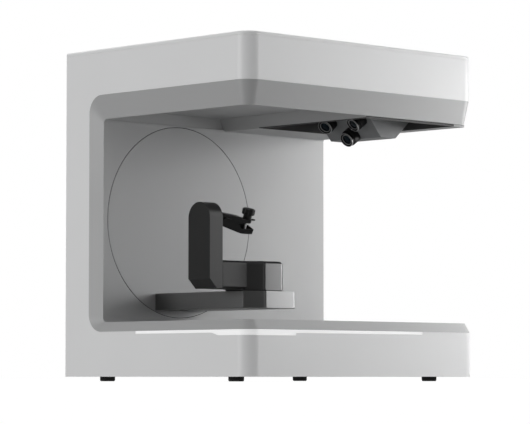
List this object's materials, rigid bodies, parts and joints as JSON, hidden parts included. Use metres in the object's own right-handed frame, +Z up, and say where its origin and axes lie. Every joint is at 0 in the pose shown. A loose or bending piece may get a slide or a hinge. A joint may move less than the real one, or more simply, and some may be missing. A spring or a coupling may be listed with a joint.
{
  "type": "desktop 3d scanner",
  "caption": "C-shaped bench-top 3d scanner with a swinging, turning sample arm, a screw clamp and fixed optics under its head.",
  "frame": {"origin": "on the ground under the middle of the footprint", "axes": "+Z up, -Y to the front that the light strip and the open bay face, +X to the right seen from the front"},
  "size_m": [0.34, 0.283, 0.3508],
  "materials": {
    "white_shell": "satin powder coat",
    "grey_liner": "satin powder coat",
    "grey_disc": "painted, satin",
    "black_anodised": "black anodised, smooth",
    "black_plastic": "fine grain",
    "plum_cowl": "smooth",
    "diffuser": "milky, translucent",
    "steel": "bright",
    "zinc_sheet": "zinc plated",
    "motor_black": "painted",
    "ring_grey": "anodised",
    "lens_glass": "coated",
    "rubber": "matt",
    "belt_rubber": "matt",
    "board_green": "solder mask"
  },
  "bodies": {
    "housing": {"shell": "white_shell", "top_cover": "white_shell", "back_cover": "white_shell", "base_pan": "zinc_sheet", "bay_liner": "grey_liner", "light_strip": "diffuser", "light_board": "board_green", "rubber_feet": "rubber", "foot_screws": "steel", "base_frame": "zinc_sheet", "column_frame": "zinc_sheet", "head_frame": "zinc_sheet", "swing_bearing_housing": "ring_grey", "swing_bearing": "steel", "swing_motor": "motor_black", "motor_bracket": "ring_grey", "swing_belt": "belt_rubber", "power_inlet": "black_plastic", "power_switch": "black_plastic", "usb_socket": "steel", "fan_frame": "black_plastic", "power_supply": "zinc_sheet", "main_board": "board_green", "optics_bay": "black_plastic", "optics_cowl": "plum_cowl", "optics_bracket": "zinc_sheet", "camera_left": "black_anodised", "camera_right": "black_anodised", "projector": "black_anodised", "lens_rings": "ring_grey", "lens_barrels": "black_anodised", "lens_glasses": "lens_glass"},
    "swing_arm": {"swing_disc": "grey_disc", "swing_shaft": "steel", "swing_pulley": "ring_grey", "swing_beam": "black_anodised", "beam_cover": "black_anodised", "turn_bearing": "steel", "turn_motor": "motor_black", "turn_belt": "belt_rubber"},
    "turntable": {"turn_pulley": "ring_grey", "turn_shaft": "steel", "turntable_hub": "black_anodised", "arm_base": "black_anodised", "arm_post": "black_anodised", "holder_socket": "steel", "lock_screw": "steel"},
    "holder": {"holder_shank": "steel", "upper_jaw": "black_anodised", "jaw_pin": "steel"},
    "clamp_jaw": {"lower_jaw": "black_anodised"},
    "thumb_screw": {"thumb_knob": "black_anodised", "clamp_screw": "steel"},
    "swing_drive": {"swing_drive_pulley": "steel"},
    "turn_drive": {"turn_drive_pulley": "steel"},
    "fan": {"fan_rotor": "black_plastic"},
    "rocker": {"switch_rocker": "black_plastic"}
  },
  "joints": [
    {"name": "swing", "type": "hinge", "parent": "housing", "child": "swing_arm", "pos_m": [-0.0557, 0.0845, 0.1713], "axis": [0, 1, 0], "range_deg": [-120, 120]},
    {"name": "turn", "type": "hinge", "parent": "swing_arm", "child": "turntable", "pos_m": [-0.0557, -0.0315, 0.0937], "axis": [0, 0, 1], "continuous": true},
    {"name": "holder_roll", "type": "hinge", "parent": "turntable", "child": "holder", "pos_m": [-0.1151, -0.0315, 0.1687], "axis": [1, 0, 0], "continuous": true},
    {"name": "thumb_screw_turn", "type": "hinge", "parent": "holder", "child": "thumb_screw", "pos_m": [-0.0665, -0.0315, 0.1687], "axis": [0, -0.309, 0.9511], "range_deg": [-3400, 3400]},
    {"name": "jaw_open", "type": "hinge", "parent": "holder", "child": "clamp_jaw", "pos_m": [-0.1, -0.03134, 0.16822], "axis": [0, 0.9511, 0.309], "range_deg": [-8.2, 8.2]},
    {"name": "swing_drive_turn", "type": "hinge", "parent": "housing", "child": "swing_drive", "pos_m": [0.0543, 0.104, 0.1713], "axis": [0, 1, 0], "range_deg": [-495, 495]},
    {"name": "turn_drive_turn", "type": "hinge", "parent": "swing_arm", "child": "turn_drive", "pos_m": [-0.0557, 0.0385, 0.0791], "axis": [0, 0, 1], "continuous": true},
    {"name": "fan_spin", "type": "hinge", "parent": "housing", "child": "fan", "pos_m": [0.092, 0.13, 0.2868], "axis": [0, 1, 0], "continuous": true},
    {"name": "rocker_tilt", "type": "hinge", "parent": "housing", "child": "rocker", "pos_m": [0.0835, 0.1361, 0.0318], "axis": [1, 0, 0], "range_deg": [-14, 0]}
  ],
  "couplings": [
    {"joint": "jaw_open", "follows": "thumb_screw_turn", "ratio": 0.002374},
    {"joint": "swing_drive_turn", "follows": "swing", "ratio": 4.0909},
    {"joint": "turn_drive_turn", "follows": "turn", "ratio": 2}
  ]
}
